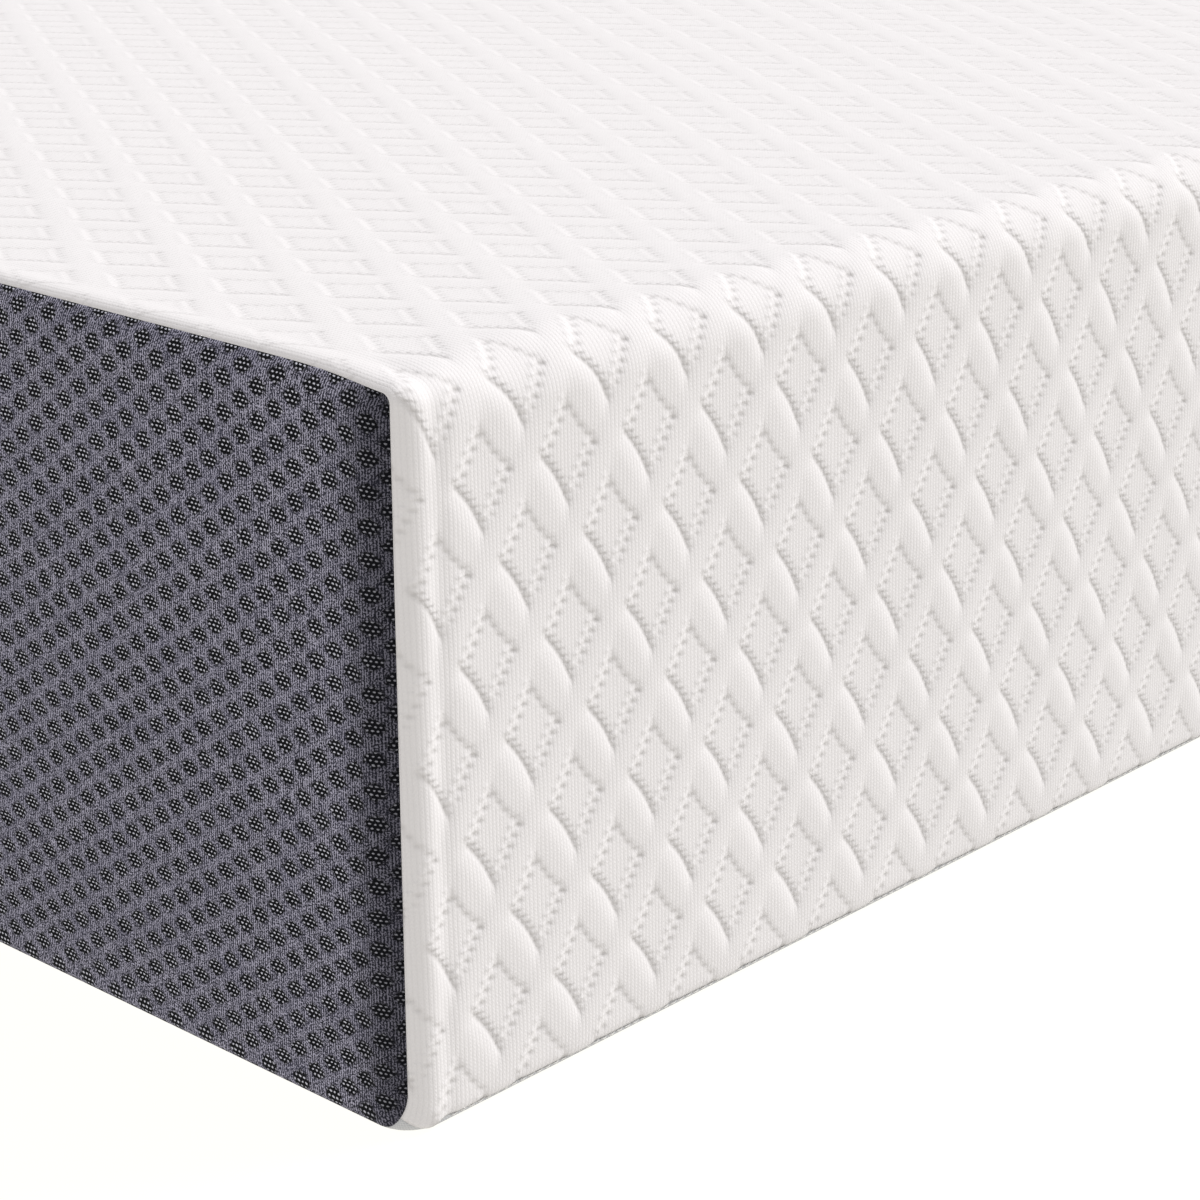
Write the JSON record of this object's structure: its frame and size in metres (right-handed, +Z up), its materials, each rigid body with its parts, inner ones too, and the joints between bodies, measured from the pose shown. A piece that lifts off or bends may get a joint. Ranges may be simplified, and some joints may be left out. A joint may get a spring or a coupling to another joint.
{
  "type": "memory foam mattress",
  "caption": "Flat memory foam mattress with a diamond-relief white knit top and ends, grey mesh sides and a zipped cover.",
  "frame": {"origin": "on the floor, under the middle of the mattress", "axes": "+Z up, +Y towards the head end, where the zip is, +X across the mattress"},
  "size_m": [1.524, 2.0371, 0.2032],
  "materials": {
    "white_knit": "matte",
    "grey_mesh": "matte",
    "base_cloth": "matte",
    "inner_sock": "matte",
    "support_foam": "matte",
    "comfort_foam": "matte",
    "memory_foam": "matte",
    "thread": "matte",
    "zip_tape": "matte",
    "zip_coil": "satin",
    "zip_metal": "satin",
    "label": "satin"
  },
  "bodies": {
    "mattress": {"foam_base_layer": "support_foam", "foam_comfort_layer": "comfort_foam", "foam_memory_layer": "memory_foam", "inner_sock": "inner_sock", "cover_top_panel": "white_knit", "cover_side_left": "grey_mesh", "cover_side_right": "grey_mesh", "cover_base_panel": "base_cloth", "seam_thread_left": "thread", "seam_thread_right": "thread", "seam_thread_foot": "thread", "seam_thread_head": "thread", "zip_tape_upper": "zip_tape", "zip_tape_lower": "zip_tape", "zip_coil_upper": "zip_coil", "zip_coil_lower": "zip_coil", "zip_top_stops": "zip_metal", "zip_bottom_stop": "zip_metal", "zip_stitch_upper": "thread", "zip_stitch_lower": "thread", "care_label": "label"},
    "slider": {"zip_slider": "zip_metal"},
    "pull": {"zip_pull": "zip_metal"}
  },
  "joints": [
    {"name": "zip_slide", "type": "slide", "parent": "mattress", "child": "slider", "axis": [-1, 0, 0], "range_m": [0, 1.379]},
    {"name": "pull_swing", "type": "hinge", "parent": "slider", "child": "pull", "pos_m": [0.6895, 1.0192, 0.03], "axis": [0, 0, -1], "range_deg": [0, 180]}
  ]
}
